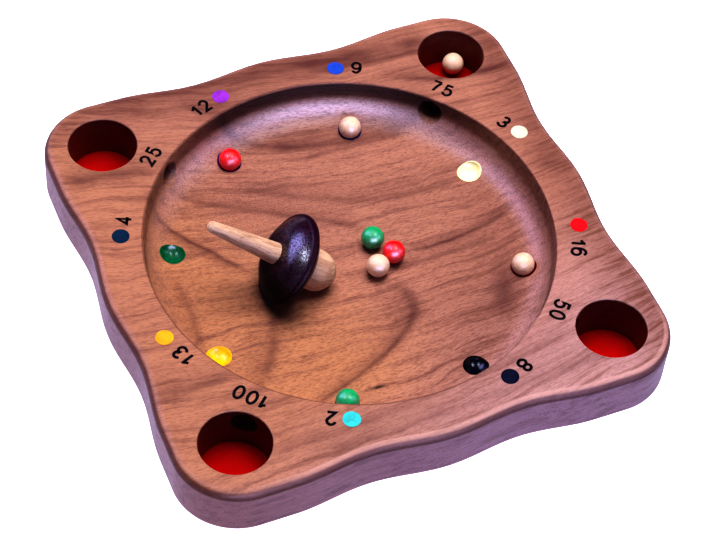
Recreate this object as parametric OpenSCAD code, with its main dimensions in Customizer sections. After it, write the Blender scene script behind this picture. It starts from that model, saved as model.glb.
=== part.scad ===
// Spinning top board game: a wavy square board with a round bowl, four corner pockets joined to
// the bowl by tunnels, eight painted cups, eight wooden balls and a wooden spinning top.
// Origin at the middle of the board's underside, +Z up, the board's sides along X and Y.

/* [Board] */
// Width of the square board across its crests
board_w = 218; // [212:1:240]
// Thickness of the board
board_t = 24; // [23.5:0.5:30]
// Radius of the board's four corners
corner_r = 27.5; // [22:0.5:30]
// Depth of the waves along each side
wave_depth = 3.2; // [0.5:0.1:3.6]
// Length of one wave
wave_pitch = 67; // [60:1:75]
// Radius of the round-over along the top edge
top_round = 4; // [2:0.5:5]
// Radius of the small round-over along the bottom edge
bottom_round = 1; // [0.5:0.1:2]

/* [Bowl] */
// Distance of the bowl's rim from the crests of the board's sides
bowl_from_side = 21; // [19:0.5:26]
// Depth of the bowl at the foot of its cove
floor_depth = 18.5; // [16:0.5:19]
// How much deeper the bowl's floor is at its centre
floor_dish = 0.8; // [0.2:0.1:1.4]
// Radius of the cove between the wall and the floor
cove_r = 13; // [10:0.5:14]
// How far the wall leans in from the rim to the cove
wall_lean = 1; // [0.2:0.1:2]
// Radius of the small round-over along the rims of the bowl and the pockets
rim_round = 0.7; // [0.3:0.1:1.2]

/* [Cups] */
// Diameter of a cup's mouth
cup_d = 10.5; // [9.5:0.1:11]
// Depth of a cup
cup_depth = 3; // [2.4:0.1:3.4]
// Distance of a cup's centre from the bowl's rim
cup_from_rim = 12.6; // [11:0.1:15]
// Thickness of the paint that lines a cup
paint_t = 0.3; // [0.2:0.05:0.5]
// Gap between the paint and the wood of a cup
paint_gap = 0.05; // [0.02:0.01:0.1]

/* [Pockets] */
// Diameter of a corner pocket
pocket_d = 30; // [26:0.5:31]
// Distance of a pocket's centre from the two sides beside it
pocket_from_side = 25.8; // [24:0.1:27]
// Depth of a pocket down to its felt
pocket_depth = 21; // [19:0.5:21.5]
// Thickness of a pocket's felt disc
felt_t = 1; // [0.5:0.1:1.5]
// Gap between a felt disc's edge and the pocket's wall
felt_gap = 0.1; // [0.05:0.05:0.3]

/* [Tunnels] */
// Diameter of a tunnel between the bowl and a pocket
tunnel_d = 11.5; // [11:0.1:12]
// Depth of a tunnel's axis below the board's top
tunnel_depth = 7.4; // [7:0.1:8]
// Sideways distance of a tunnel's axis from the board's diagonal
tunnel_shift = 2.5; // [0:0.1:4]

/* [Rim dots] */
// Diameter of a coloured dot on the rim
dot_d = 7.5; // [5:0.1:8]
// Thickness of a coloured dot
dot_t = 0.2; // [0.1:0.05:0.4]

/* [Balls] */
// Diameter of a ball
ball_d = 10; // [9:0.1:10.4]
// Gap between a ball or the top and the surface under it
seat_gap = 0.2; // [0.1:0.05:0.4]

/* [Spinning top] */
// Diameter of the top's disc
disc_d = 40.4; // [36:0.4:44]
// Thickness of the disc's rim, which is half round
disc_rim_t = 3.6; // [2:0.1:4]
// Thickness of the disc at its middle
disc_mid_t = 14.4; // [12:0.1:16]
// Diameter of the flat at the disc's middle
disc_flat_d = 19.2; // [18.5:0.1:22]
// How far the disc's faces bulge between the flat and the rim
disc_bulge = 1; // [0.2:0.1:1.5]
// Diameter of the spindle where it runs through the disc
spindle_d = 9.4; // [8:0.1:10.5]
// Gap between the spindle and the disc's bore
glue_gap = 0.05; // [0.02:0.01:0.1]
// Length of the handle above the disc
handle_l = 34.6; // [30:0.1:40]
// Diameter of the handle at its end
handle_end_d = 5.1; // [4:0.1:6]
// Diameter of the tip
tip_d = 18.2; // [16:0.1:18.4]
// Length of the tip's straight part below the disc
tip_straight = 6.1; // [5:0.1:8]
// Length of the tip's domed end
tip_dome = 9.8; // [8:0.1:11]

/* [Hidden] */
$fn = 64;

// Places along the rim, counted anticlockwise from the one beside the number 3
cup_count = 8;
cup_step = 360 / cup_count;
cup_colours = ["cornsilk", "royalblue", "mediumorchid", "darkgreen",
    "gold", "turquoise", "black", "crimson"];
dot_colours = ["ivory", "royalblue", "mediumorchid", "midnightblue",
    "orange", "turquoise", "black", "crimson"];
// Turn of each dot from its cup, in degrees, and its distance outside the bowl's rim
dot_turn = [-5.1, 4.5, -7.5, 3.6, -7.3, 0.6, -2.7, 5.7];
dot_out = [9.1, 8.8, 8.2, 9.4, 7.7, 7.7, 9.1, 10.6];

// Where the loose balls lie on the bowl's floor, and the spread between them
green_at = [13.2, 5.4];
red_at = [18.8, -5.0];
natural_at = [9.5, -9.7];
// Where the ball lies in the pocket beside the number 75, from the pocket's centre
pocket_ball_dir = 52;
pocket_ball_slack = 0.5;
// Where the top lies: the middle of its disc, and the direction of its handle seen from above
lie_at = [-29.1, -2.3];
lie_dir = 162.8;
// Least and most lean of its axis above the floor that are tried, and how often the span is halved
least_lean = 5;
most_lean = 80;
lean_halvings = 30;

half_w = board_w / 2;
bowl_r = half_w - bowl_from_side;
wall_foot_r = bowl_r - wall_lean;
floor_r = wall_foot_r - cove_r;
floor_foot_z = board_t - floor_depth;
cove_z = floor_foot_z + cove_r;
cup_ring_r = bowl_r - cup_from_rim;
cup_r = (pow(cup_d / 2, 2) + pow(cup_depth, 2)) / (2 * cup_depth);
cup_z = bowl_z(cup_ring_r) - cup_depth + cup_r;
lining_r = cup_r - paint_gap;
ball_r = ball_d / 2;
pocket_at = half_w - pocket_from_side;
felt_z = board_t - pocket_depth - felt_t;
tunnel_start = floor_r + cove_r / 2;
cut_over = 1;

// Height of the bowl's surface at a distance from its centre, up to the foot of the wall
function bowl_z(r) = r < floor_r
    ? floor_foot_z - floor_dish * (1 - pow(r / floor_r, 2))
    : cove_z - sqrt(pow(cove_r, 2) - pow(r - floor_r, 2));

// Wave along a side, and its slope
wave_turn = 360 / wave_pitch;
function wave(s) = abs(s) < wave_pitch ? wave_depth / 2 * (1 - cos(wave_turn * s)) : 0;
function wave_slope(s) = abs(s) < wave_pitch
    ? wave_depth / 2 * wave_turn * PI / 180 * sin(wave_turn * s)
    : 0;

// Outline of the board, drawn in along its normal by inset
side_steps = 48;
corner_steps = 10;
side_half = half_w - corner_r;
function side_point(s, inset) =
    let (n = [1, wave_slope(s)], k = inset / norm(n))
    [half_w - wave(s) - k * n[0], s - k * n[1]];
function quarter(inset) = concat(
    [for (i = [0:side_steps - 1]) side_point(side_half * (2 * i / side_steps - 1), inset)],
    [for (i = [0:corner_steps - 1])
        let (a = 90 * i / corner_steps)
        [side_half, side_half] + (corner_r - inset) * [cos(a), sin(a)]]);
function turned(p, a) = [p[0] * cos(a) - p[1] * sin(a), p[0] * sin(a) + p[1] * cos(a)];
function ring(inset, z) =
    [for (a = [0, 90, 180, 270]) for (p = quarter(inset)) let (q = turned(p, a)) [q[0], q[1], z]];

// Height and inset of each ring from the underside to the top face
edge_turns = [for (a = [0:22.5:90]) a];
rings = concat(
    [for (a = [0, 45, 90]) [bottom_round * (1 - sin(a)), bottom_round * (1 - cos(a))]],
    [for (a = edge_turns) [top_round * (1 - cos(a)), board_t - top_round * (1 - sin(a))]]);

module block() {
    n = 4 * (side_steps + corner_steps);
    last = len(rings) - 1;
    low = (last + 1) * n;
    high = low + 1;
    points = concat([for (g = rings) each ring(g[0], g[1])], [[0, 0, 0], [0, 0, board_t]]);
    bands = [for (k = [0:last - 1]) for (i = [0:n - 1])
        let (a = k * n + i, b = k * n + (i + 1) % n)
        each [[a + n, b, a], [a + n, b + n, b]]];
    underside = [for (i = [0:n - 1]) [low, i, (i + 1) % n]];
    top_face = [for (i = [0:n - 1]) [high, last * n + (i + 1) % n, last * n + i]];
    polyhedron(points, concat(bands, underside, top_face), convexity = 4);
}

// Points of a rim that rounds outwards from a wall of radius r up to the board's top
function rim(r) = [for (a = [0:30:90])
    [r + rim_round * (1 - cos(a)), board_t - rim_round * (1 - sin(a))]];
function rim_lid(r) = [[r + rim_round, board_t + cut_over], [0, board_t + cut_over]];

module bowl_space() {
    floor_steps = 6;
    cove_steps = 12;
    floor_points = [for (i = [0:floor_steps - 1])
        let (r = floor_r * i / floor_steps) [r, bowl_z(r)]];
    cove_points = [for (i = [0:cove_steps])
        let (a = 90 * i / cove_steps) [floor_r + cove_r * sin(a), cove_z - cove_r * cos(a)]];
    rotate_extrude($fn = 180)
        polygon(concat(floor_points, cove_points, rim(bowl_r), rim_lid(bowl_r)));
}

module pocket_space() {
    r = pocket_d / 2;
    rotate_extrude()
        polygon(concat([[0, felt_z], [r, felt_z]], rim(r), rim_lid(r)));
}

// Puts its child at the corner pocket that lies k quarter turns from the first
module at_pocket(k) {
    rotate([0, 0, 90 * k])
        translate([pocket_at, pocket_at, 0])
            children();
}

module tunnel(k) {
    rotate([0, 0, 45 + 90 * k])
        translate([tunnel_start, -tunnel_shift, board_t - tunnel_depth])
            rotate([0, 90, 0])
                cylinder(d = tunnel_d, h = norm([pocket_at, pocket_at]) - tunnel_start);
}

// Puts its child over the cup that lies k steps from the first
module at_cup(k) {
    rotate([0, 0, cup_step * (k + 0.5)])
        translate([cup_ring_r, 0, cup_z])
            children();
}

module board() {
    color("sienna")
        difference() {
            block();
            bowl_space();
            for (k = [0:3]) {
                at_pocket(k) pocket_space();
                tunnel(k);
            }
            for (k = [0:cup_count - 1])
                at_cup(k) sphere(r = cup_r);
        }
}

module felt(k) {
    color("firebrick")
        at_pocket(k)
            translate([0, 0, felt_z])
                cylinder(d = pocket_d - 2 * felt_gap, h = felt_t);
}

module cup_paint(k) {
    color(cup_colours[k])
        difference() {
            at_cup(k) sphere(r = lining_r);
            at_cup(k) sphere(r = lining_r - paint_t);
            bowl_space();
        }
}

module rim_dot(k) {
    color(dot_colours[k])
        rotate([0, 0, cup_step * (k + 0.5) + dot_turn[k]])
            translate([bowl_r + dot_out[k], 0, board_t])
                cylinder(d = dot_d, h = dot_t);
}

module cup_ball(k, colour) {
    color(colour)
        at_cup(k)
            translate([0, 0, ball_r + seat_gap - lining_r + paint_t])
                sphere(d = ball_d);
}

module pocket_ball(k, colour) {
    reach = pocket_d / 2 - ball_r - pocket_ball_slack;
    color(colour)
        at_pocket(k)
            rotate([0, 0, pocket_ball_dir])
                translate([reach, 0, felt_z + felt_t + ball_r + seat_gap])
                    sphere(d = ball_d);
}

module floor_ball(at, colour) {
    color(colour)
        translate([at[0], at[1], bowl_z(norm(at)) + ball_r + seat_gap])
            sphere(d = ball_d);
}

// The top lies on its disc's rim and on its tip. Heights along its axis are counted from the
// disc's mid-plane, positive towards the handle.
rim_r = disc_rim_t / 2;
disc_r = disc_d / 2;
tip_r = tip_d / 2;
tip_z = -disc_mid_t / 2 - tip_straight;

// For a lean b of the axis above the floor: where the rim and the tip touch, as height along
// the axis and distance from it
function rim_touch(b) = [-rim_r * sin(b), disc_r - rim_r + rim_r * cos(b)];
function tip_touch(b) =
    let (q = atan2(tip_dome * sin(b), tip_r * cos(b)))
    [tip_z - tip_dome * sin(q), tip_r * cos(q)];
// How far a touching point lies below the disc's middle, and where it is on the floor
function drop(p, b) = p[1] * cos(b) - p[0] * sin(b);
function floor_at(p, b) = lie_at + (p[0] * cos(b) + p[1] * sin(b)) * [cos(lie_dir), sin(lie_dir)];
function needed(p, b) = bowl_z(norm(floor_at(p, b))) + drop(p, b);
// Halves the span until the rim and the tip both touch
function lean(lo, hi, n) =
    let (b = (lo + hi) / 2)
    n == 0 ? b
    : needed(rim_touch(b), b) > needed(tip_touch(b), b) ? lean(b, hi, n - 1) : lean(lo, b, n - 1);
lie_lean = lean(least_lean, most_lean, lean_halvings);
lie_z = needed(rim_touch(lie_lean), lie_lean) + seat_gap;
lie_axis = [cos(lie_lean) * cos(lie_dir), cos(lie_lean) * sin(lie_dir), sin(lie_lean)];
echo(lie_lean = lie_lean, lie_point = [lie_at[0], lie_at[1], lie_z], lie_axis = lie_axis);

module lying() {
    translate([lie_at[0], lie_at[1], lie_z])
        rotate([0, 90 - lie_lean, lie_dir])
            children();
}

module top_spindle() {
    r = spindle_d / 2;
    end_r = handle_end_d / 2;
    end_z = disc_mid_t / 2 + handle_l - end_r;
    dome = [for (i = [0:9]) let (a = 10 * i) [tip_r * sin(a), tip_z - tip_dome * cos(a)]];
    handle_end = [for (i = [0:9]) let (a = 10 * i) [end_r * cos(a), end_z + end_r * sin(a)]];
    color("burlywood")
        lying()
            rotate_extrude()
                polygon(concat(dome,
                    [[tip_r, tip_z], [tip_r, -disc_mid_t / 2], [r, -disc_mid_t / 2]],
                    [[r, disc_mid_t / 2]], handle_end));
}

module top_disc() {
    bore_r = spindle_d / 2 + glue_gap;
    flat_r = disc_flat_d / 2;
    edge_r = disc_r - rim_r;
    face = [for (i = [0:7]) let (k = i / 8)
        [flat_r + (edge_r - flat_r) * k,
            disc_mid_t / 2 + (rim_r - disc_mid_t / 2) * k + 4 * disc_bulge * k * (1 - k)]];
    rim_half = [for (i = [0:5]) let (a = 90 - 15 * i) [edge_r + rim_r * cos(a), rim_r * sin(a)]];
    upper = concat([[bore_r, disc_mid_t / 2]], face, rim_half);
    lower = [for (i = [len(upper) - 1:-1:0]) [upper[i][0], -upper[i][1]]];
    color("indigo")
        lying()
            rotate_extrude($fn = 96)
                polygon(concat(upper, [[disc_r, 0]], lower));
}

board();
felt(0);  // felt_75
felt(1);  // felt_25
felt(2);  // felt_100
felt(3);  // felt_50
cup_paint(0);  // cup_paint_3
cup_paint(1);  // cup_paint_9
cup_paint(2);  // cup_paint_12
cup_paint(3);  // cup_paint_4
cup_paint(4);  // cup_paint_13
cup_paint(5);  // cup_paint_2
cup_paint(6);  // cup_paint_8
cup_paint(7);  // cup_paint_16
rim_dot(0);  // rim_dot_3
rim_dot(1);  // rim_dot_9
rim_dot(2);  // rim_dot_12
rim_dot(3);  // rim_dot_4
rim_dot(4);  // rim_dot_13
rim_dot(5);  // rim_dot_2
rim_dot(6);  // rim_dot_8
rim_dot(7);  // rim_dot_16
cup_ball(1, "wheat");  // ball_natural_9
cup_ball(2, "red");  // ball_red_12
cup_ball(5, "seagreen");  // ball_green_2
cup_ball(7, "wheat");  // ball_natural_16
pocket_ball(0, "wheat");  // ball_natural_75
floor_ball(green_at, "seagreen");  // ball_green_loose
floor_ball(red_at, "red");  // ball_red_loose
floor_ball(natural_at, "wheat");  // ball_natural_loose
top_spindle();
top_disc();
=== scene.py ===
# Spinning top board game: wooden board with bowl, pockets and tunnels, balls, and the top lying in it.
import math
import bpy
from mathutils import Matrix, Vector


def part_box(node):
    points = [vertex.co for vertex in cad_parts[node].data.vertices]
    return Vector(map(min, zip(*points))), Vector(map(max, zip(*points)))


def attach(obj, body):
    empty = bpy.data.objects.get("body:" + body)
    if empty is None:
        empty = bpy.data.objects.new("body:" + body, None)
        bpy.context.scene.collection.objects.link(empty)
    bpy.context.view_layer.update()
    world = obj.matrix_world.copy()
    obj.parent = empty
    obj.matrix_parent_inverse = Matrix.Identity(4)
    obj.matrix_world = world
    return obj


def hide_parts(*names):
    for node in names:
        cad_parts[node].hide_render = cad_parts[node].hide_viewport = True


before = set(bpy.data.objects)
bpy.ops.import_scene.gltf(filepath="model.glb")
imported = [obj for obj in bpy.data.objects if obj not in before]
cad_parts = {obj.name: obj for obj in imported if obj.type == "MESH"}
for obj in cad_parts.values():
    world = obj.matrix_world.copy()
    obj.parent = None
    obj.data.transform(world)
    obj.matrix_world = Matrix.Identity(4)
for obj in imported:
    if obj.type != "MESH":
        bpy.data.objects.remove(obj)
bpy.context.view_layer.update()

mm = 0.001
turn = math.tau


# Small tools for modelling

def deselectAll():
    if bpy.context.object and bpy.context.object.mode != "OBJECT":
        bpy.ops.object.mode_set(mode="OBJECT")
    bpy.ops.object.select_all(action="DESELECT")


def pick(*pieces):
    deselectAll()
    for piece in pieces:
        piece.select_set(True)
    bpy.context.view_layer.objects.active = pieces[0]


def drawPath(name, points, closed=False):
    # one vertex, extruded from point to point
    deselectAll()
    bpy.ops.mesh.primitive_plane_add(size=2 * mm, location=(0, 0, 0))
    piece = bpy.context.object
    piece.name = piece.data.name = name
    bpy.ops.object.mode_set(mode="EDIT")
    bpy.ops.mesh.select_mode(type="VERT")
    bpy.ops.mesh.select_all(action="SELECT")
    bpy.ops.mesh.merge(type="CENTER")
    bpy.ops.transform.translate(value=points[0])
    for here, there in zip(points, points[1:]):
        step = Vector(there) - Vector(here)
        bpy.ops.mesh.extrude_vertices_move(TRANSFORM_OT_translate={"value": step})
    bpy.ops.mesh.select_all(action="SELECT")
    if closed:
        bpy.ops.mesh.edge_face_add()
    return piece


def tidyMesh(limit=0.001 * mm):
    bpy.ops.mesh.select_all(action="SELECT")
    bpy.ops.mesh.remove_doubles(threshold=limit)
    bpy.ops.mesh.normals_make_consistent(inside=False)


def turnPiece(name, profile, steps):
    # profile of (distance from the axis, height) in mm, turned about Z as on a lathe
    piece = drawPath(name, [(r * mm, 0, z * mm) for r, z in profile])
    bpy.ops.mesh.spin(steps=steps, angle=turn, center=(0, 0, 0), axis=(0, 0, 1))
    tidyMesh()
    bpy.ops.object.mode_set(mode="OBJECT")
    return piece


def place(piece, at, tilt=(0, 0, 0)):
    pick(piece)
    piece.location = at
    piece.rotation_euler = tilt
    bpy.ops.object.transform_apply(location=True, rotation=True, scale=True)
    return piece


def copyOf(piece, name):
    made = piece.copy()
    made.data = piece.data.copy()
    made.name = made.data.name = name
    bpy.context.scene.collection.objects.link(made)
    return made


def joined(pieces):
    pick(*pieces)
    bpy.ops.object.join()
    return bpy.context.object


def combine(piece, other, operation):
    # cuts the other piece away or adds it, and removes it
    pick(piece)
    step = piece.modifiers.new("combine", "BOOLEAN")
    step.operation = operation
    step.solver = "EXACT"
    step.object = other
    bpy.ops.object.modifier_apply(modifier="combine")
    bpy.data.objects.remove(other)


def smooth(piece, angle):
    # smooth up to an angle in degrees, with normals that follow the large faces
    pick(piece)
    bpy.ops.object.shade_smooth_by_angle(angle=math.radians(angle))
    even = piece.modifiers.new("even", "WEIGHTED_NORMAL")
    even.keep_sharp = True
    even.weight = 100
    bpy.ops.object.modifier_apply(modifier="even")


def selectWhere(piece, test, mode="FACE"):
    # picks faces or edges of the piece by their place, in edit mode
    bpy.ops.mesh.select_mode(type=mode)
    bpy.ops.mesh.select_all(action="DESELECT")
    bpy.ops.object.mode_set(mode="OBJECT")
    mesh = piece.data
    if mode == "FACE":
        for face in mesh.polygons:
            face.select = test(face)
    else:
        for edge in mesh.edges:
            edge.select = all(test(mesh.vertices[v].co) for v in edge.vertices)
    bpy.ops.object.mode_set(mode="EDIT")


# Small tools for materials

class Signal:
    def __init__(self, finish, socket):
        self.finish = finish
        self.socket = socket

    def __add__(self, other):
        return self.finish.maths("ADD", self, other)

    def __radd__(self, other):
        return self.finish.maths("ADD", other, self)

    def __sub__(self, other):
        return self.finish.maths("SUBTRACT", self, other)

    def __rsub__(self, other):
        return self.finish.maths("SUBTRACT", other, self)

    def __mul__(self, other):
        return self.finish.maths("MULTIPLY", self, other)

    def __rmul__(self, other):
        return self.finish.maths("MULTIPLY", other, self)

    def __truediv__(self, other):
        return self.finish.maths("DIVIDE", self, other)

    def __neg__(self):
        return self.finish.maths("MULTIPLY", self, -1.0)


class Finish:
    def __init__(self, name):
        self.material = bpy.data.materials.new(name)
        self.material.use_nodes = True
        self.tree = self.material.node_tree
        self.tree.nodes.clear()

    def node(self, kind, settings=None, sockets=None, out=0):
        made = self.tree.nodes.new(kind)
        for key, value in (settings or {}).items():
            setattr(made, key, value)
        for key, value in (sockets or {}).items():
            if isinstance(value, Signal):
                self.tree.links.new(value.socket, made.inputs[key])
            else:
                made.inputs[key].default_value = value
        return Signal(self, made.outputs[out]) if made.outputs else made

    def maths(self, operation, a, b=0.0, clamp=False):
        settings = {"operation": operation, "use_clamp": clamp}
        return self.node("ShaderNodeMath", settings, {0: a, 1: b})

    def clamped(self, a):
        return self.maths("ADD", a, 0.0, clamp=True)

    def hump(self, distance, width):
        # 1 where the distance is 0, fading away over the width
        near = distance / width
        return self.maths("EXPONENT", -(near * near))

    def between(self, value, low, high):
        settings = {"interpolation_type": "SMOOTHSTEP"}
        sockets = {"Value": value, "From Min": low, "From Max": high}
        return self.node("ShaderNodeMapRange", settings, sockets)

    def mix(self, factor, a, b):
        # on a Mix node, colours go into sockets 6 and 7 and come out of 2
        return self.node("ShaderNodeMix", {"data_type": "RGBA"}, {0: factor, 6: a, 7: b}, out=2)

    def place(self, at=(0, 0, 0), tilt=(0, 0, 0)):
        # the object's coordinates in mm, from a point and along tilted axes
        coords = self.node("ShaderNodeTexCoord", out=3)
        sockets = {"Vector": coords, "Location": at, "Rotation": tilt, "Scale": (mm, mm, mm)}
        return self.node("ShaderNodeMapping", {"vector_type": "TEXTURE"}, sockets)

    def parts(self, vector):
        split = self.node("ShaderNodeSeparateXYZ", None, {0: vector})
        return [Signal(self, split.socket.node.outputs[k]) for k in range(3)]

    def vector(self, x, y, z):
        return self.node("ShaderNodeCombineXYZ", None, {0: x, 1: y, 2: z})

    def noise(self, vector, scale=1.0, detail=2.0, rough=0.5, warp=0.0):
        sockets = {"Vector": vector, "Scale": scale, "Detail": detail,
                   "Roughness": rough, "Distortion": warp}
        return self.node("ShaderNodeTexNoise", None, sockets)

    def bump(self, height, strength, distance):
        sockets = {"Strength": strength, "Distance": distance * mm, "Height": height}
        return self.node("ShaderNodeBump", None, sockets)

    def finish(self, sockets):
        shader = self.node("ShaderNodeBsdfPrincipled", None, sockets)
        self.node("ShaderNodeOutputMaterial", None, {"Surface": shader})
        return self.material


def tint(red, green, blue):
    # a colour as seen on a screen, 0 to 255
    def linear(value):
        share = value / 255
        return share / 12.92 if share <= 0.04045 else ((share + 0.055) / 1.055) ** 2.4
    return (linear(red), linear(green), linear(blue), 1.0)


def cover(piece, material):
    piece.data.materials.clear()
    piece.data.materials.append(material)


# Camera: looks down on the board from the front, a little from the left

camera = {
    "lens": 113.33,
    "sensor": 36,
    "at": (-0.26557, -0.54972, 0.76347),
    "right": (0.92413, -0.37811, 0.05494),
    "up": (0.26452, 0.73690, 0.62210),
    "back": (-0.27571, -0.56037, 0.78100),
}
deselectAll()
bpy.ops.object.camera_add(location=camera["at"])
eye = bpy.context.object
eye.name = "camera"
axes = Matrix((camera["right"], camera["up"], camera["back"])).transposed()
eye.rotation_euler = axes.to_euler()
eye.data.lens = camera["lens"]
eye.data.sensor_width = camera["sensor"]
eye.data.clip_start = 0.01
bpy.context.scene.camera = eye
print("camera placed")


# The board

board = {
    "width": 218.0,
    "thick": 24.0,
    "cornerR": 27.5,
    "waveDepth": 3.2,
    "wavePitch": 67.0,
    "topRound": 4.0,
    "bottomRound": 1.0,
    "bowlR": 88.0,
    "floorDepth": 18.5,
    "floorDish": 0.8,
    "coveR": 13.0,
    "wallLean": 1.0,
    "rimRound": 0.7,
    "pocketR": 15.0,
    "pocketFromSide": 25.8,
    "feltTop": 3.0,
    "feltThick": 1.0,
    "tunnelR": 5.75,
    "tunnelDepth": 7.4,
    "tunnelShift": 2.5,
    "cupMouth": 10.5,
    "cupDepth": 3.0,
    "cupFromRim": 12.6,
    "sideSteps": 112,
    "cornerSteps": 28,
    "topSteps": 10,
    "bottomSteps": 4,
    "bowlSteps": 288,
    "pocketSteps": 96,
    "tunnelSteps": 64,
    "cupSteps": 64,
    "cupRings": 48,
    "topInset": 0.3,
    "smoothAngle": 35,
    "above": 2.0,  # how far the cutters reach above the top
}
half = board["width"] / 2
boardTop = board["thick"]
bowlR = board["bowlR"]
floorFoot = boardTop - board["floorDepth"]
floorR = bowlR - board["wallLean"] - board["coveR"]
coveZ = floorFoot + board["coveR"]
pocketAt = half - board["pocketFromSide"]
cutTop = boardTop + board["above"]
cupRing = bowlR - board["cupFromRim"]
cupR = ((board["cupMouth"] / 2) ** 2 + board["cupDepth"] ** 2) / (2 * board["cupDepth"])


def bowlHeight(r):
    if r < floorR:
        return floorFoot - board["floorDish"] * (1 - (r / floorR) ** 2)
    return coveZ - math.sqrt(board["coveR"] ** 2 - (r - floorR) ** 2)


def boardOutline():
    straight = half - board["cornerR"]
    points = []
    for k in range(board["sideSteps"]):
        s = straight * (2 * k / board["sideSteps"] - 1)
        wave = 0.0
        if abs(s) < board["wavePitch"]:
            wave = board["waveDepth"] / 2 * (1 - math.cos(turn * s / board["wavePitch"]))
        points.append((half - wave, s))
    for k in range(board["cornerSteps"]):
        a = turn / 4 * k / board["cornerSteps"]
        points.append((straight + board["cornerR"] * math.cos(a),
                       straight + board["cornerR"] * math.sin(a)))
    return points


def rimArc(r, steps=6):
    arc = []
    for k in range(steps + 1):
        a = turn / 4 * k / steps
        arc.append((r + board["rimRound"] * (1 - math.cos(a)),
                    boardTop - board["rimRound"] * (1 - math.sin(a))))
    return arc


def makeBlock():
    quarter = boardOutline()
    points = []
    for k in range(4):
        c, s = round(math.cos(turn / 4 * k)), round(math.sin(turn / 4 * k))
        points += [((x * c - y * s) * mm, (x * s + y * c) * mm, 0) for x, y in quarter]
    block = drawPath("board_wood", points, closed=True)
    top = boardTop * mm
    bpy.ops.mesh.extrude_region_move(TRANSFORM_OT_translate={"value": (0, 0, top)})
    bpy.ops.mesh.select_all(action="SELECT")
    bpy.ops.mesh.normals_make_consistent(inside=False)
    for level, edge, steps in ((top, "topRound", "topSteps"), (0, "bottomRound", "bottomSteps")):
        selectWhere(block, lambda co: abs(co.z - level) < 0.1 * mm, "EDGE")
        bpy.ops.mesh.bevel(offset=board[edge] * mm, segments=board[steps], clamp_overlap=False)
    selectWhere(block, lambda face: face.center.z > top - 0.01 * mm and len(face.vertices) > 8)
    bpy.ops.mesh.inset(thickness=board["topInset"] * mm)
    bpy.ops.object.mode_set(mode="OBJECT")
    return block


def bowlCutter():
    dishSteps, coveSteps = 14, 18
    radii = [floorR * k / dishSteps for k in range(dishSteps)]
    profile = [(r, bowlHeight(r)) for r in radii]
    for k in range(coveSteps + 1):
        a = turn / 4 * k / coveSteps
        profile.append((floorR + board["coveR"] * math.sin(a), coveZ - board["coveR"] * math.cos(a)))
    profile += rimArc(bowlR)
    profile += [(bowlR + board["rimRound"], cutTop), (0, cutTop)]
    return turnPiece("bowl_cutter", profile, board["bowlSteps"])


def pocketCutters():
    r = board["pocketR"]
    base = board["feltTop"] - board["feltThick"]
    foot = 0.4
    profile = [(0, base), (r - foot, base), (r, base + foot)] + rimArc(r)
    profile += [(r + board["rimRound"], cutTop), (0, cutTop)]
    first = turnPiece("pocket_cutter", profile, board["pocketSteps"])
    cutters = []
    for k, (x, y) in enumerate(((1, 1), (-1, 1), (-1, -1), (1, -1))):
        cutter = copyOf(first, f"pocket_cutter_{k}")
        cutters.append(place(cutter, (pocketAt * x * mm, pocketAt * y * mm, 0)))
    bpy.data.objects.remove(first)
    return joined(cutters)


def tunnelCutters():
    # a round bar from the cove to the middle of the pocket
    start, end = floorR + board["coveR"] / 2, pocketAt * math.sqrt(2)
    cutters = []
    for k in range(4):
        a = turn / 8 + turn / 4 * k
        along, across = (start + end) / 2, board["tunnelShift"]
        x = along * math.cos(a) + across * math.sin(a)
        y = along * math.sin(a) - across * math.cos(a)
        at = (x * mm, y * mm, (boardTop - board["tunnelDepth"]) * mm)
        bpy.ops.mesh.primitive_cylinder_add(vertices=board["tunnelSteps"],
                                            radius=board["tunnelR"] * mm,
                                            depth=(end - start) * mm, location=at,
                                            rotation=(0, turn / 4, a))
        bar = bpy.context.object
        cutters.append(place(bar, bar.location.copy(), bar.rotation_euler.copy()))
    return joined(cutters)


def cupCutters():
    cutters = []
    height = bowlHeight(cupRing) - board["cupDepth"] + cupR
    for k in range(8):
        a = turn / 16 + turn / 8 * k
        at = (cupRing * math.cos(a) * mm, cupRing * math.sin(a) * mm, height * mm)
        bpy.ops.mesh.primitive_uv_sphere_add(segments=board["cupSteps"], radius=cupR * mm,
                                             ring_count=board["cupRings"], location=at)
        ball = bpy.context.object
        cutters.append(place(ball, ball.location.copy()))
    return joined(cutters)


wood = makeBlock()
for cutter in (bowlCutter, pocketCutters, tunnelCutters, cupCutters):
    combine(wood, cutter(), "DIFFERENCE")
pick(wood)
bpy.ops.object.mode_set(mode="EDIT")
tidyMesh()
bpy.ops.object.mode_set(mode="OBJECT")
smooth(wood, board["smoothAngle"])
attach(wood, "board")
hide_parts("board")
print("board cut:", len(wood.data.polygons), "faces")


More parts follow.
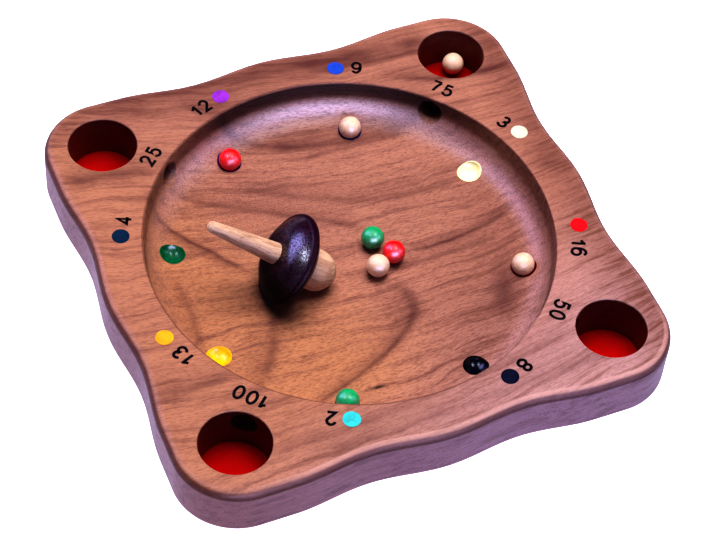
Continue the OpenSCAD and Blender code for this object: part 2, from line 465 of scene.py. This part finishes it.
walnut = {
    "pale": (174, 124, 93),
    "rosy": (166, 120, 106),
    # a painted sheen for the front right of the top
    "paintedSheen": (176, 140, 146),
    "band": (112, 74, 66),
    "line": (72, 36, 38),
    "pore": (76, 38, 32),
    "knotColour": (20, 6, 5),
    # painted shade for the turned wall and the tunnels, and for the pockets, reddened there as by light
    # bounced off the felt
    "wall": (30, 6, 6),
    "pocket": (112, 18, 14),
    # painted bluish light on the sides, a painted highlight on the front edge, and painted shade on the
    # rounded edges
    "flank": (132, 118, 150),
    "wearAndHighlight": (222, 180, 176),
    "turned": (76, 36, 30),
    # how the grain's slope changes over the board: at the middle, per mm of y, per mm of x
    "turns": (0.041, 0.00177, -0.00075),
    # dark growth lines: the axis they run along, their bend (where it turns, level, slope, curve),
    # where they start and end, their width and their strength
    "lines": (
        ("x", (45.0, 62.0, 0.0, 0.0039), (-50, 70), 2.0, 0.4),
        ("x", (30.0, 66.5, -0.02, 0.003), (-44, 60), 3.6, 0.15),
        ("x", (54.0, 26.0, 0.0, 0.0042), (-36, 70), 1.8, 0.3),
        ("x", (-22.0, 37.0, -0.577, 0.0), (-66, 18), 1.5, 0.4),
        ("x", (43.0, -4.0, 0.0, 0.0055), (22, 86), 0.9, 0.55),
        ("x", (45.0, -10.0, 0.02, 0.0015), (12, 70), 1.1, 0.3),
        ("y", (8.0, -41.5, -0.75, 0.0), (4, 56), 1.2, 0.55),
        ("y", (-6.0, -40.0, 0.0, -0.0105), (-54, 8), 2.2, 0.5),
        ("y", (-28.0, 18.0, 0.0, -0.042), (-76, -12), 2.4, 0.5),
        ("y", (0.0, -73.0, 0.0, -0.006), (-30, 24), 1.6, 0.32),
        ("x", (0.0, 100.0, -0.07, 0.0), (-84, 84), 2.6, 0.4),
        ("x", (30.0, 92.5, -0.05, -0.001), (12, 80), 1.6, 0.45),
        ("x", (80.0, 69.5, -0.14, 0.006), (46, 112), 1.4, 0.5),
        ("x", (-95.0, 66.5, -0.16, 0.0), (-112, -60), 2.4, 0.45),
        ("x", (-88.0, -53.5, 0.05, 0.008), (-112, -66), 2.0, 0.35),
        ("x", (-10.0, -90.0, 0.1, 0.0006), (-80, 75), 1.4, 0.25),
        ("x", (20.0, -98.0, 0.05, 0.0005), (-60, 90), 1.8, 0.3),
        ("x", (95.0, 8.0, -0.2, 0.0), (84, 112), 2.0, 0.3),
    ),
    "gloss": 0.34,
    "shine": 0.12,
    "varnishGloss": 0.5,
    "varnishIor": 1.6,
    "poreDepth": 0.1,
    "lineFade": 14.0,  # over which each end of a growth line fades
    # where each tint starts and is full, in mm
    "paleLeft": (10.0, -60.0),
    "sheenRight": (40.0, 140.0),
    "darkRight": (80.0, 104.0),
    "darkBack": (82.0, 96.0),
    "darkFloor": (30.0, 75.0),
    "highlightFront": (-72.0, -100.0),
    "wallBack": (45.0, 80.0),
    "thinRight": (70.0, 84.0),
    "hollowFoot": (1.0, 2.5),  # height over the underside, for what is inside the hollows alone
    "knot": (-13.3, -66.0, 1.2),  # x, y, size
    "patch": (58, -36, 10),
    "curl": (-25.0, 38.0, 45.0, 30.0),  # x, y, reach along x and y of the curly figure
    "tunnelHalf": 94.0,  # distances from the middle where the tunnels' tint changes and ends
    "tunnelEnd": 103.0,
}


def growthLine(f, x, y, wander, row):
    # a dark line that is sharp on one side and fades away on the other
    axis, bends, ends, width, strength = row
    along, over = (x, y) if axis == "x" else (y, x)
    turning, level, slope, curve = bends
    off = along - turning
    rise = over - level - slope * off - curve * (off * off) + wander
    start, end = ends
    shown = f.between(along, start, start + walnut["lineFade"])
    shown = shown * f.between(along, end, end - walnut["lineFade"])
    tail = 1.8 * width if axis == "x" else -1.8 * width
    soft = 0.8 * f.hump(rise, 1.2 * width) + 0.6 * f.hump(rise - tail, 3.4 * width)
    return strength * shown * soft


def darkMarks(f, at, x, y, streaks):
    # the growth lines and one patch
    wander = 3.0 * (f.noise(at, 0.09, 3) - 0.5) + 1.6 * (streaks - 0.5)
    lines = sum(growthLine(f, x, y, wander, row) for row in walnut["lines"])
    patchX, patchY, patchR = walnut["patch"]
    patch = f.hump(x - patchX - 0.4 * (y - patchY), 0.6 * patchR)
    return lines + 0.8 * patch * f.hump(y - patchY, 1.2 * patchR)


def grainOf(f, at, x, y, z):
    # the grain falls to the right at the back and rises at the front
    slope, perY, perX = walnut["turns"]
    along = x + 0.1 * y
    level = y + x * (slope + perY * y + perX * x)
    sway = 5.0 * (f.noise(at, 0.025, 2) - 0.5)
    across = level + sway
    growth = level + 0.35 * z + 2.6 * sway
    streaks = f.noise(f.vector(along * 0.022, growth * 0.4, z * 0.3), 1.0, 5, 0.6)
    threads = f.noise(f.vector(along * 0.13, across * 1.7, z * 1.7), 1.0, 3, 0.7)
    return along, across, streaks, threads


def woodGround(f, at, x, y, middle, rim, streaks, threads):
    # paler on the left of the bowl, with a painted sheen at the front right, darker towards the right
    # and the back
    fade = 0.5 + f.noise(at, 0.07, 2)
    low = f.between(x + 0.6 * y, *walnut["paleLeft"]) * (1.0 - 0.6 * rim)
    colour = f.mix(low, tint(*walnut["rosy"]), tint(*walnut["pale"]))
    paintedSheen = f.between(0.5 * x - y, *walnut["sheenRight"])
    colour = f.mix(paintedSheen, colour, tint(*walnut["paintedSheen"]))
    shade = 0.6 * f.between(streaks, 0.42, 0.72) * fade + 0.3 * f.between(threads, 0.46, 0.66)
    shade = shade + 0.55 * f.between(x, *walnut["darkRight"])
    shade = shade + 0.45 * f.between(y, *walnut["darkBack"]) * f.between(x, 50.0, 20.0)
    floorRight = f.between(x - 0.6 * y, *walnut["darkFloor"])
    shade = shade + 0.4 * (floorRight * f.between(middle, bowlR - 6.0, bowlR - 14.0))
    colour = f.mix(f.clamped(shade), colour, tint(*walnut["band"]))
    marks = f.clamped(darkMarks(f, at, x, y, streaks) * fade)
    return f.mix(marks, colour, tint(*walnut["line"]))


def poresOf(f, x, y, z, along, across):
    # pores run along the grain, and across it where the figure is curly
    dashes = f.noise(f.vector(along * 0.45, across * 2.2, z * 2.2), 1.0, 2, 0.6)
    curls = f.noise(f.vector(x * 1.1 + 0.5 * y, y * 1.7 - 0.6 * x, z), 1.0, 2, 0.6)
    curlX, curlY, reachX, reachY = walnut["curl"]
    figured = f.hump(x - curlX, reachX) * f.hump(y - curlY, reachY)
    plain = f.between(dashes, 0.47, 0.62) * (1.0 - 0.4 * figured)
    return f.clamped(plain + figured * f.between(curls, 0.47, 0.6))


def boredPart(f, x, y, middle):
    # 1 in the pockets and in the far half of each tunnel
    pocketX = f.maths("ABSOLUTE", x) - pocketAt
    pocketY = f.maths("ABSOLUTE", y) - pocketAt
    fromPocket = f.maths("SQRT", pocketX * pocketX + pocketY * pocketY)
    pockets = f.between(fromPocket, board["pocketR"] + 0.5, board["pocketR"] + 0.1)
    tunnelHalf, tunnelEnd = walnut["tunnelHalf"], walnut["tunnelEnd"]
    farHalf = f.between(middle, tunnelHalf, tunnelHalf + 5.0)
    return f.clamped(pockets + farHalf * f.between(middle, tunnelEnd + 1.0, tunnelEnd))


def hollowShade(f, colour, x, y, z, middle, bored):
    # painted shade in the hollows: the pockets and the far half of each tunnel take a dark red painted
    # shade, reddened as by light bounced off the felt, and the near half of the tunnels and the turned
    # wall of the bowl a dark one, strongest on the back wall; the noise marks are the cutters' rings
    steep = f.between(middle, bowlR - 1.6, bowlR - 0.8) * f.between(middle, bowlR + 0.6, bowlR)
    back = 0.35 + 0.65 * f.between(0.28 * x + 0.96 * y, *walnut["wallBack"])
    walls = steep * f.between(z, coveZ - 5.5, coveZ - 0.5) * back
    tunnelHalf = walnut["tunnelHalf"]
    tunnels = f.between(middle, bowlR + 0.5, bowlR + 6.0)
    tunnels = tunnels * f.between(middle, tunnelHalf + 5.0, tunnelHalf)
    inside = f.between(z, boardTop - 0.3, boardTop - 1.2) * f.between(z, *walnut["hollowFoot"])
    marks = 0.85 + 0.4 * (f.noise(f.vector(x * 0.05, y * 0.05, z * 1.3), 1.0, 3, 0.7) - 0.5)
    colour = f.mix(f.clamped((walls + tunnels) * inside * marks), colour, tint(*walnut["wall"]))
    return f.mix(f.clamped(bored * inside * marks), colour, tint(*walnut["pocket"]))


def bowlLip(f, colour, x, z, middle):
    # painted shade: the rounded rim of the bowl is darkened along its left
    lip = f.between(middle, bowlR - 0.1, bowlR + 0.15) * f.between(middle, bowlR + 1.0, bowlR + 0.7)
    lip = 0.5 * lip * f.between(x, 60.0, 0.0) * f.between(z, boardTop - 1.2, boardTop - 0.5)
    return f.mix(lip, colour, tint(*walnut["turned"]))


def outerEdge(f, colour, x, y, z, middle, bored):
    # a painted bluish light on the side, painted shade where the top turns down, and a painted
    # highlight along the front edge
    outer = f.between(middle, bowlR + 6.0, bowlR + 8.0) * (1.0 - bored)
    flank = outer * f.between(z, boardTop - 3.4, boardTop - 4.6)
    colour = f.mix(0.15 * flank, colour, tint(*walnut["flank"]))
    turned = f.between(z, boardTop - 4.4, boardTop - 3.2) * f.between(z, boardTop - 0.3, boardTop - 1.2)
    colour = f.mix(0.75 * (outer * turned), colour, tint(*walnut["turned"]))
    front = 0.05 + 0.3 * f.between(y, *walnut["highlightFront"]) * f.between(x, -90.0, -50.0)
    wearAndHighlight = f.between(z, boardTop - 1.3, boardTop - 0.5) * f.between(z, boardTop - 0.005, boardTop - 0.1)
    return f.mix(front * (outer * wearAndHighlight), colour, tint(*walnut["wearAndHighlight"]))


def varnishOf(f, x, y, z, middle, pores):
    # the varnish lies thicker in the cove, and thins towards the right
    cove = f.between(middle, floorR + 1.5, floorR + 10.0) * f.between(z, coveZ - 0.3, coveZ - 5.1)
    thinned = 1.0 - 0.45 * f.between(x - 0.3 * y, *walnut["thinRight"])
    inside = f.between(middle, bowlR + 0.5, bowlR) * f.between(z, *walnut["hollowFoot"])
    return cove * (1.1 - 0.6 * pores) * thinned * inside


def woodFinish():
    f = Finish("walnut_oiled")
    at = f.place()
    x, y, z = f.parts(at)
    middle = f.maths("SQRT", x * x + y * y)
    rim = f.between(middle, bowlR - 2.0, bowlR + 1.0)
    along, across, streaks, threads = grainOf(f, at, x, y, z)
    colour = woodGround(f, at, x, y, middle, rim, streaks, threads)
    pores = poresOf(f, x, y, z, along, across)
    colour = f.mix((0.42 - 0.16 * rim) * pores, colour, tint(*walnut["pore"]))
    knotX, knotY, knotR = walnut["knot"]
    knot = f.hump(x - knotX, 2.6 * knotR) * f.hump(y - knotY, 0.6 * knotR)
    colour = f.mix(knot, colour, tint(*walnut["knotColour"]))
    bored = boredPart(f, x, y, middle)
    colour = hollowShade(f, colour, x, y, z, middle, bored)
    colour = bowlLip(f, colour, x, z, middle)
    colour = outerEdge(f, colour, x, y, z, middle, bored)
    return f.finish({"Base Color": colour, "Roughness": walnut["gloss"] + 0.10 * streaks,
                     "Normal": f.bump(0.0 - pores - 0.5 * streaks, 0.5, walnut["poreDepth"]),
                     "Specular IOR Level": walnut["shine"],
                     "Coat Weight": varnishOf(f, x, y, z, middle, pores),
                     "Coat Roughness": walnut["varnishGloss"], "Coat IOR": walnut["varnishIor"]})


cover(wood, woodFinish())
print("board finished")


# Numbers printed on the top, drawn stroke by stroke in a box 1 wide and 1 high

numbers = {
    "dark": (2, 1, 3),
    "faded": (14, 6, 9),
    "height": 7.3,
    "width": 4.9,
    "stroke": 1.28,
    "gap": 1.0,
    "oneWidth": 3.8,
    "thick": 0.05,
    # each number's angle round the board and its distance from the middle
    "places": {"12": (111.7, 96.1), "9": (66.4, 97.5), "75": (42.5, 95.8), "3": (22.5, 96.1),
               "16": (-24.0, 97.4), "50": (-45.2, 94.8), "8": (-65.1, 97.2), "2": (-116.8, 95.9),
               "100": (-137.0, 95.2), "13": (202.5, 95.3), "4": (155.9, 96.4), "25": (133.2, 95.9)},
}


def arc(cx, cy, rx, ry, start, end, steps=24):
    points = []
    for k in range(steps + 1):
        a = math.radians(start + (end - start) * k / steps)
        points.append((cx + rx * math.cos(a), cy + ry * math.sin(a)))
    return points


def ring(cx, cy, rx, ry, steps=40):
    return ("ring", arc(cx, cy, rx, ry, 0, 360, steps)[:-1])


strokes = {
    "0": [ring(0.5, 0.5, 0.5, 0.5)],
    "1": [("bar", [(0.72, 0.0), (0.72, 1.0)]), ("bar", [(0.72, 0.93), (0.45, 0.76), (0.2, 0.68)])],
    "2": [("bar", arc(0.5, 0.71, 0.46, 0.29, 172, -32) + [(0.08, 0.0), (1.0, 0.0)])],
    "3": [("bar", arc(0.47, 0.74, 0.41, 0.26, 160, -80) + arc(0.47, 0.265, 0.5, 0.265, 80, -162))],
    "4": [("bar", [(0.7, 0.0), (0.7, 1.0), (0.0, 0.3), (1.02, 0.3)])],
    "5": [("bar", [(0.9, 1.0), (0.2, 1.0), (0.1, 0.52)] + arc(0.47, 0.325, 0.51, 0.325, 132, -162))],
    "6": [ring(0.5, 0.31, 0.5, 0.31), ("bar", arc(0.55, 0.5, 0.55, 0.5, 190, 42))],
    "7": [("bar", [(0.0, 1.0), (1.0, 1.0)]), ("bar", [(0.98, 0.98), (0.62, 0.52), (0.42, 0.0)])],
    "8": [ring(0.5, 0.76, 0.43, 0.24, 32), ring(0.5, 0.26, 0.5, 0.26)],
}


def besideStroke(points, reach, side):
    # the stroke's centre line, moved sideways by half its width
    moved = []
    for k, (x, y) in enumerate(points):
        before = points[max(k - 1, 0)]
        after = points[min(k + 1, len(points) - 1)]
        normals = []
        for (ax, ay), (bx, by) in ((before, (x, y)), ((x, y), after)):
            length = math.hypot(bx - ax, by - ay)
            if length > 0:
                normals.append(Vector((ay - by, bx - ax)) / length)
        mean = sum(normals, Vector((0, 0))).normalized()
        stretch = 1 / max(mean.dot(normals[0]), 0.45)
        moved.append((x + side * reach * stretch * mean.x, y + side * reach * stretch * mean.y))
    return moved


def makeStroke(kind, points, name):
    reach = numbers["stroke"] / 2
    w, h = numbers["width"] - 2 * reach, numbers["height"] - 2 * reach
    line = [(reach + x * w, reach + y * h) for x, y in points]
    if kind == "ring":
        cx = sum(x for x, y in line) / len(line)
        cy = sum(y for x, y in line) / len(line)
        outline = []
        for k, (x, y) in enumerate(line):
            (ax, ay), (bx, by) = line[k - 1], line[(k + 1) % len(line)]
            out = Vector((by - ay, ax - bx)).normalized()
            if out.dot(Vector((x - cx, y - cy))) < 0:
                out = -out
            outline.append((x + reach * out.x, y + reach * out.y))
    else:
        outline = besideStroke(line, reach, 1) + besideStroke(line, reach, -1)[::-1]
    piece = drawPath(name, [(x * mm, y * mm, 0) for x, y in outline], closed=True)
    if kind == "ring":
        bpy.ops.mesh.select_mode(type="FACE")
        bpy.ops.mesh.inset(thickness=2 * reach * mm)
        bpy.ops.mesh.delete(type="FACE")
        bpy.ops.mesh.select_all(action="SELECT")
    rise = (0, 0, numbers["thick"] * mm)
    bpy.ops.mesh.extrude_region_move(TRANSFORM_OT_translate={"value": rise})
    tidyMesh()
    bpy.ops.object.mode_set(mode="OBJECT")
    return piece


def makeDigit(digit):
    first = makeStroke(*strokes[digit][0], "digit_" + digit)
    for kind, points in strokes[digit][1:]:
        combine(first, makeStroke(kind, points, "stroke"), "UNION")
    return first


digits = {digit: makeDigit(digit) for digit in strokes}
digits["9"] = copyOf(digits["6"], "digit_9")
place(digits["9"], (numbers["width"] * mm, numbers["height"] * mm, 0), (0, 0, turn / 2))


def advance(digit):
    return numbers["oneWidth"] if digit == "1" else numbers["width"]


inked = []
for text, (angle, r) in numbers["places"].items():
    total = sum(advance(d) for d in text) + numbers["gap"] * (len(text) - 1)
    start = -total / 2
    parts = []
    for k, d in enumerate(text):
        shift = start - (numbers["width"] - advance(d)) / 2
        part = copyOf(digits[d], f"part_{k}")
        parts.append(place(part, (shift * mm, -numbers["height"] / 2 * mm, 0)))
        start += advance(d) + numbers["gap"]
    piece = joined(parts)
    piece.name = piece.data.name = "number_" + text
    a = math.radians(angle)
    at = (r * math.cos(a) * mm, r * math.sin(a) * mm, boardTop * mm)
    place(piece, at, (0, 0, a - turn / 4))
    inked.append(piece)
for digit in digits.values():
    bpy.data.objects.remove(digit)


def inkFinish():
    f = Finish("number_ink")
    wearAndHighlight = f.noise(f.place(), 3.0, 3)
    colour = f.mix(f.between(wearAndHighlight, 0.55, 0.8), tint(*numbers["dark"]), tint(*numbers["faded"]))
    return f.finish({"Base Color": colour, "Roughness": 0.5 + 0.2 * wearAndHighlight, "Specular IOR Level": 0.1})


ink = inkFinish()
for piece in inked:
    cover(piece, ink)
    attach(piece, "board")
print("numbers printed:", len(inked))


# Felt in the pockets

felt = {
    "red": (172, 0, 3),
    "deep": (136, 0, 2),
}


def feltFinish():
    f = Finish("felt_red")
    at = f.place()
    hairs = f.noise(at, 1.6, 4, 0.7, 1.5)
    clumps = f.noise(at, 0.25, 2)
    colour = f.mix(f.clamped(0.7 * hairs + 0.4 * clumps), tint(*felt["red"]), tint(*felt["deep"]))
    return f.finish({"Base Color": colour, "Roughness": 0.9 + 0.05 * clumps,
                     "Normal": f.bump(hairs, 0.6, 0.25), "Specular IOR Level": 0.1})


feltRed = feltFinish()
for name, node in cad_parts.items():
    if name.startswith("felt_"):
        cover(node, feltRed)
print("felt laid")


# Enamel in the cups and on the rim

enamel = {
    # the cups under the balls (9, 12, 2 and 16) are darker than their dots, as painted shade under the
    # balls
    "cups": {"3": (250, 243, 196), "9": (10, 28, 104), "12": (70, 16, 106), "4": (0, 88, 56),
             "13": (250, 190, 0), "2": (20, 96, 104), "8": (6, 9, 20), "16": (104, 3, 10)},
    "dots": {"3": (201, 207, 192), "9": (32, 74, 192), "12": (140, 54, 196), "4": (0, 38, 68),
             "13": (226, 166, 30), "2": (56, 192, 204), "8": (7, 12, 40), "16": (206, 8, 26)},
    # roughness and shine
    "cupGloss": (0.18, 0.35),
    "dotGloss": (0.5, 0.1),
}


def enamelFinish(name, colour, gloss, shine):
    f = Finish(name)
    at = f.place()
    soft = f.noise(at, 0.35, 3)
    deep = tuple(0.72 * value for value in colour[:3]) + (1.0,)
    shade = f.mix(f.between(soft, 0.4, 0.75), colour, deep)
    brush = f.noise(at, 0.9, 2)
    return f.finish({"Base Color": shade, "Roughness": gloss + 0.12 * brush,
                     "Normal": f.bump(brush, 0.06, 0.1), "Specular IOR Level": shine})


for name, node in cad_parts.items():
    if name.startswith("cup_paint_"):
        colour = tint(*enamel["cups"][name.removeprefix("cup_paint_")])
        cover(node, enamelFinish(name, colour, *enamel["cupGloss"]))
    if name.startswith("rim_dot_"):
        colour = tint(*enamel["dots"][name.removeprefix("rim_dot_")])
        cover(node, enamelFinish(name, colour, *enamel["dotGloss"]))
print("cups and dots painted")


# Balls

balls = {
    "natural": {"main": (224, 196, 176), "grain": (204, 166, 144), "gloss": 0.38, "coat": 0.15},
    "red": {"main": (240, 0, 10), "grain": (196, 0, 8), "gloss": 0.35, "coat": 0.35},
    "green": {"main": (0, 164, 106), "grain": (0, 126, 84), "gloss": 0.35, "coat": 0.35},
    "coatGloss": 0.22,
    # how the grain leans, from ball to ball
    "tilts": ((0.6, 0.2, 0.0), (1.3, 0.0, 0.9), (0.3, 1.2, 0.4), (1.1, 0.5, 2.0)),
}


def ballFinish(name, look, at, tilt):
    # wood grain that runs through the ball, along an axis of its own
    f = Finish(name)
    x, y, z = f.parts(f.place(at, tilt))
    wave = f.noise(f.vector(x, y, z * 0.3), 0.25, 2)
    rings = f.noise(f.vector(x * 1.1 + 2.0 * wave, y * 0.5, z * 0.06), 1.0, 3, 0.6)
    flecks = f.noise(f.vector(x * 3.0, y * 3.0, z * 0.6), 1.0, 2)
    grain = f.clamped(f.between(rings, 0.45, 0.72) * 0.7 + 0.35 * f.between(flecks, 0.58, 0.72))
    colour = f.mix(grain, tint(*look["main"]), tint(*look["grain"]))
    return f.finish({"Base Color": colour, "Roughness": look["gloss"] + 0.1 * flecks,
                     "Normal": f.bump(flecks, 0.05, 0.05), "Coat Weight": look["coat"],
                     "Coat Roughness": balls["coatGloss"]})


for k, (name, node) in enumerate(sorted(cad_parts.items())):
    if name.startswith("ball_"):
        low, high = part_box(name)
        look = balls[name.split("_")[1]]
        tilt = balls["tilts"][k % len(balls["tilts"])]
        cover(node, ballFinish(name, look, (low + high) / 2, tilt))
print("balls finished")


# The spinning top: pale beech spindle in a dark lacquered disc

topPiece = {
    "middle": (-29.1, -2.3, 21.959),
    "lean": 35.2076,
    "heading": 162.8,
    "beech": (206, 178, 154),
    "beechDark": (168, 130, 108),
    "fleck": (132, 78, 50),
    "lacquer": (3, 0, 4),
    "lacquerWarm": (50, 2, 30),
    "beechGloss": 0.45,
    "beechShine": 0.2,
    "lacquerGloss": 0.4,
    "lacquerShine": 0.06,
    "polishGloss": 0.27,
    "polishIor": 1.7,
    "polishR": 19.6,  # where the polish ends towards the disc's edge
}
topAt = tuple(value * mm for value in topPiece["middle"])
topTilt = (0.0, math.radians(90 - topPiece["lean"]), math.radians(topPiece["heading"]))


def beechFinish():
    f = Finish("beech_turned")
    x, y, z = f.parts(f.place(topAt, topTilt))
    wave = f.noise(f.vector(x, y, z * 0.15), 0.2, 2)
    rings = f.noise(f.vector(x * 1.1 + 3.0 * wave, y * 0.4, z * 0.04), 1.0, 3, 0.6)
    flecks = f.noise(f.vector(x * 2.2, y * 2.2, z * 0.22), 1.0, 3, 0.65)
    colour = f.mix(f.between(rings, 0.4, 0.7), tint(*topPiece["beech"]), tint(*topPiece["beechDark"]))
    colour = f.mix(0.6 * f.between(flecks, 0.52, 0.66), colour, tint(*topPiece["fleck"]))
    return f.finish({"Base Color": colour, "Roughness": topPiece["beechGloss"] + 0.15 * flecks,
                     "Normal": f.bump(0.0 - flecks, 0.25, 0.05),
                     "Specular IOR Level": topPiece["beechShine"]})


def lacquerFinish():
    f = Finish("lacquer_dark")
    x, y, z = f.parts(f.place(topAt, topTilt))
    grain = f.noise(f.vector(x * 0.9, y * 1.6, z * 1.6), 1.0, 3, 0.7)
    # painted light: the wine-red grain shows more strongly on the disc's upper side, towards the lamps,
    # and its lower side stays near black
    upper = f.between(x, 6.0, -8.0)
    wineGrainAndLight = f.clamped(f.between(grain, 0.4, 0.65) * (0.3 + upper))
    colour = f.mix(wineGrainAndLight, tint(*topPiece["lacquer"]), tint(*topPiece["lacquerWarm"]))
    # polished above, with small pits, and dull along the edge
    away = f.maths("SQRT", x * x + y * y)
    pits = f.noise(f.vector(x, y, z), 1.2, 2)
    polish = 0.9 * upper * f.between(away, topPiece["polishR"], topPiece["polishR"] - 1.8)
    polish = polish * (0.3 + 0.7 * f.between(pits, 0.40, 0.52))
    return f.finish({"Base Color": colour, "Roughness": topPiece["lacquerGloss"] + 0.12 * grain,
                     "Normal": f.bump(0.0 - grain, 0.5, 0.12),
                     "Specular IOR Level": topPiece["lacquerShine"], "Coat Weight": polish,
                     "Coat Roughness": topPiece["polishGloss"], "Coat IOR": topPiece["polishIor"]})


cover(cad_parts["top_spindle"], beechFinish())
cover(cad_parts["top_disc"], lacquerFinish())
print("top finished")


# Floor and lights

studio = {
    "size": 12,
    "floor": (250, 250, 252),
    "cloud": (0.6, 0.6, 0.7),
    "glow": (0.85, 0.85, 0.95),
    "sky": (0.006, 0.006, 0.014),
    "under": (1.15, 1.05, 1.6),
    "horizon": 0.05,
    "lamps": {
        "key": {"toward": (0.15, 0.17, 0.97), "size": (0.9, 0.9), "power": 31,
                "colour": (1.0, 0.88, 0.84), "only": "spread"},
        "side": {"toward": (-0.75, 0.15, 0.60), "size": (0.5, 0.5), "power": 0.4,
                 "colour": (0.9, 0.8, 0.9), "only": "spread"},
        "strip_left": {"toward": (-0.45, 0.08, 0.89), "size": (0.13, 0.5), "power": 8,
                       "colour": (0.7, 0.75, 1.0), "only": "gloss"},
        "strip_right": {"toward": (0.30, -0.20, 0.93), "size": (0.13, 0.5), "power": 8,
                        "colour": (0.7, 0.75, 1.0), "only": "gloss"},
        "tent_front": {"toward": (-0.13, -0.92, 0.38), "size": (1.6, 0.9), "power": 85,
                       "colour": (0.66, 0.60, 1.0), "only": "gloss"},
        "tent_left": {"toward": (-0.54, 0.60, 0.59), "size": (1.0, 0.8), "power": 22,
                      "colour": (0.46, 0.44, 1.0), "only": "gloss"},
        "tent_right": {"toward": (0.77, -0.50, 0.42), "size": (1.0, 0.8), "power": 15,
                       "colour": (0.6, 0.6, 1.0), "only": "gloss"},
    },
    "far": 1.4,
}
deselectAll()
bpy.ops.mesh.primitive_plane_add(size=studio["size"], location=(0, 0, 0))
ground = bpy.context.object
ground.name = "ground"


def floorFinish():
    f = Finish("ground")
    cloud = f.noise(f.place(), 0.002, 2)
    colour = f.mix(0.04 * cloud, tint(*studio["floor"]), studio["cloud"] + (1.0,))
    return f.finish({"Base Color": colour, "Roughness": 0.9 + 0.05 * cloud,
                     "Emission Color": studio["glow"] + (1.0,), "Emission Strength": 1.0})


cover(ground, floorFinish())
ground.visible_diffuse = False
ground.visible_glossy = False


def softLight(name, toward, size, power, colour, only):
    # a soft box that faces the board, for diffuse light (spread) or for reflections (gloss) alone
    deselectAll()
    away = Vector(toward).normalized()
    side = Vector(camera["right"])
    side = (side - away * side.dot(away)).normalized()
    bpy.ops.object.light_add(type="AREA", location=away * studio["far"])
    lamp = bpy.context.object
    lamp.name = name
    lamp.rotation_euler = Matrix((side, away.cross(side), away)).transposed().to_euler()
    lamp.data.shape = "RECTANGLE"
    lamp.data.size, lamp.data.size_y = size
    lamp.data.energy = power
    lamp.data.color = colour
    lamp.visible_diffuse = only != "gloss"
    lamp.visible_glossy = only != "spread"


for name, lamp in studio["lamps"].items():
    softLight(name, **lamp)
world = bpy.data.worlds.new("studio")
bpy.context.scene.world = world
world.use_nodes = True
sky = world.node_tree
way = sky.nodes.new("ShaderNodeTexCoord")
split = sky.nodes.new("ShaderNodeSeparateXYZ")
rise = sky.nodes.new("ShaderNodeMapRange")
fade = sky.nodes.new("ShaderNodeMix")
fade.data_type = "RGBA"
rise.inputs["From Min"].default_value = -studio["horizon"]
rise.inputs["From Max"].default_value = studio["horizon"]
fade.inputs[6].default_value = studio["under"] + (1.0,)
fade.inputs[7].default_value = studio["sky"] + (1.0,)
sky.links.new(way.outputs["Generated"], split.inputs[0])
sky.links.new(split.outputs["Z"], rise.inputs["Value"])
sky.links.new(rise.outputs["Result"], fade.inputs[0])
sky.links.new(fade.outputs[2], sky.nodes["Background"].inputs["Color"])
bpy.context.scene.view_settings.view_transform = "Standard"
bpy.context.scene.view_settings.look = "High Contrast"
print("lights placed")
